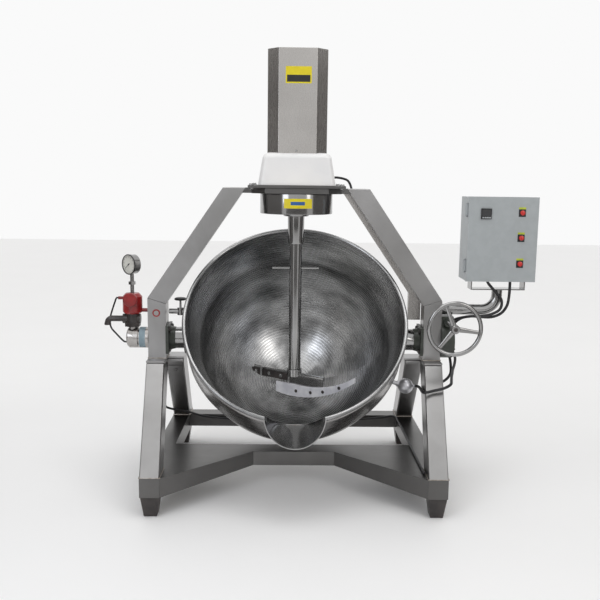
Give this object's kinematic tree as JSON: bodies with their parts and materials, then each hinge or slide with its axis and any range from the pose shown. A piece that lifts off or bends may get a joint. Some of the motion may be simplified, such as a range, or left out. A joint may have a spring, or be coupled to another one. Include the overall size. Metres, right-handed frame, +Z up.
{
  "type": "steam jacketed kettle",
  "caption": "Tilting steam-jacketed cooking kettle on a gantry stand, with an overhead stirrer and scraper, a worm-gear tilt handwheel and a swing-door control box",
  "frame": {"origin": "centre of the bounding box in plan, on the floor plane under the feet", "axes": "+Z up, +X to the right seen from the pouring side, -Y toward the pouring side; the tilt axis lies along X"},
  "size_m": [1.981, 1.0556, 1.96],
  "materials": {
    "satin_stainless": "satin stainless steel",
    "cast_iron": "cast and machined iron",
    "black_rubber": "smooth cable sheath",
    "box_grey": "semi-gloss paint on sheet",
    "brushed_stainless": "brushed stainless steel",
    "black_plastic": "moulded",
    "dark_cast": "dark enamel on castings",
    "polished_stainless": "polished stainless steel",
    "white_cover": "white gloss paint",
    "red_paint": "gloss paint",
    "ptfe": "machined fluoropolymer",
    "bronze": "machined bronze"
  },
  "bodies": {
    "frame": {"arm_left": "satin_stainless", "arm_right": "satin_stainless", "base_frame": "satin_stainless", "bearing_left": "cast_iron", "bearing_right": "cast_iron", "box_cable": "black_rubber", "box_support": "brushed_stainless", "cable_duct": "brushed_stainless", "column_left": "satin_stainless", "column_right": "satin_stainless", "control_box": "box_grey", "drive_motor": "dark_cast", "foot_front_left": "dark_cast", "foot_front_right": "dark_cast", "foot_rear_left": "dark_cast", "foot_rear_right": "dark_cast", "gear_drum": "polished_stainless", "gearbox_case": "cast_iron", "gearbox_cover": "cast_iron", "head_cable": "black_rubber", "head_cover": "white_cover", "head_plate": "satin_stainless", "leg_front_left": "satin_stainless", "leg_front_right": "satin_stainless", "leg_rear_left": "satin_stainless", "leg_rear_right": "satin_stainless", "lift_jack": "dark_cast", "motor_hood": "brushed_stainless", "pressure_gauge": "brushed_stainless", "probe_cable": "black_rubber", "rear_cable": "black_rubber", "rotary_union": "brushed_stainless", "steam_block": "dark_cast", "steam_hose": "black_rubber", "steam_valve": "red_paint", "top_beam": "satin_stainless"},
    "kettle": {"kettle_bowl": "polished_stainless", "pouring_spout": "polished_stainless", "kettle_jacket": "brushed_stainless", "trunnion_left": "polished_stainless", "trunnion_right": "polished_stainless", "worm_wheel": "bronze", "vent_valve": "brushed_stainless", "probe_head": "polished_stainless"},
    "vent_wheel": {"vent_valve_wheel": "black_plastic"},
    "handwheel": {"handwheel": "polished_stainless", "worm_shaft": "polished_stainless"},
    "lift": {"lift_yoke": "dark_cast"},
    "stirrer": {"stirrer_shaft": "polished_stainless", "stirrer_crossbar": "polished_stainless", "scraper_arm": "polished_stainless", "scraper_plate": "dark_cast", "scraper_blade": "ptfe"},
    "sleeve": {"drive_sleeve": "polished_stainless"},
    "steam_wheel": {"steam_valve_wheel": "red_paint"},
    "door": {"box_door": "box_grey", "controller": "black_plastic"},
    "button_1": {"push_button_1": "red_paint"},
    "button_2": {"push_button_2": "red_paint"},
    "button_3": {"push_button_3": "red_paint"}
  },
  "joints": [
    {"name": "kettle_tilt", "type": "hinge", "parent": "frame", "child": "kettle", "pos_m": [-0.103, 0.0228, 0.665], "axis": [1, 0, 0], "range_deg": [-49, 11]},
    {"name": "handwheel_spin", "type": "hinge", "parent": "frame", "child": "handwheel", "pos_m": [0.6052, -0.1772, 0.755], "axis": [0, 1, 0], "range_deg": [-1961, 441]},
    {"name": "stirrer_lift", "type": "slide", "parent": "frame", "child": "lift", "axis": [0, 0, 1], "range_m": [-0.09, 0]},
    {"name": "stirrer_spin", "type": "hinge", "parent": "lift", "child": "stirrer", "pos_m": [-0.103, 0.0228, 1], "axis": [0, 0, 1], "continuous": true},
    {"name": "sleeve_spin", "type": "hinge", "parent": "frame", "child": "sleeve", "pos_m": [-0.103, 0.0228, 1.2], "axis": [0, 0, 1], "continuous": true},
    {"name": "door_hinge", "type": "hinge", "parent": "frame", "child": "door", "pos_m": [0.6665, -0.0292, 1.144], "axis": [0, 0, -1], "range_deg": [0, 110]},
    {"name": "vent_wheel_turn", "type": "hinge", "parent": "kettle", "child": "vent_wheel", "pos_m": [-0.636, 0.0228, 0.848], "axis": [0, 0, 1], "range_deg": [0, 720]},
    {"name": "steam_wheel_turn", "type": "hinge", "parent": "frame", "child": "steam_wheel", "pos_m": [-0.858, -0.036, 0.85], "axis": [0, 1, 0], "range_deg": [0, 720]},
    {"name": "button_1_press", "type": "slide", "parent": "door", "child": "button_1", "axis": [0, 1, 0], "range_m": [0, 0.004], "stiffness_N_per_m": 400},
    {"name": "button_2_press", "type": "slide", "parent": "door", "child": "button_2", "axis": [0, 1, 0], "range_m": [0, 0.004], "stiffness_N_per_m": 400},
    {"name": "button_3_press", "type": "slide", "parent": "door", "child": "button_3", "axis": [0, 1, 0], "range_m": [0, 0.004], "stiffness_N_per_m": 400}
  ],
  "couplings": [
    {"joint": "handwheel_spin", "follows": "kettle_tilt", "ratio": 40},
    {"joint": "sleeve_spin", "follows": "stirrer_spin", "ratio": 1}
  ]
}
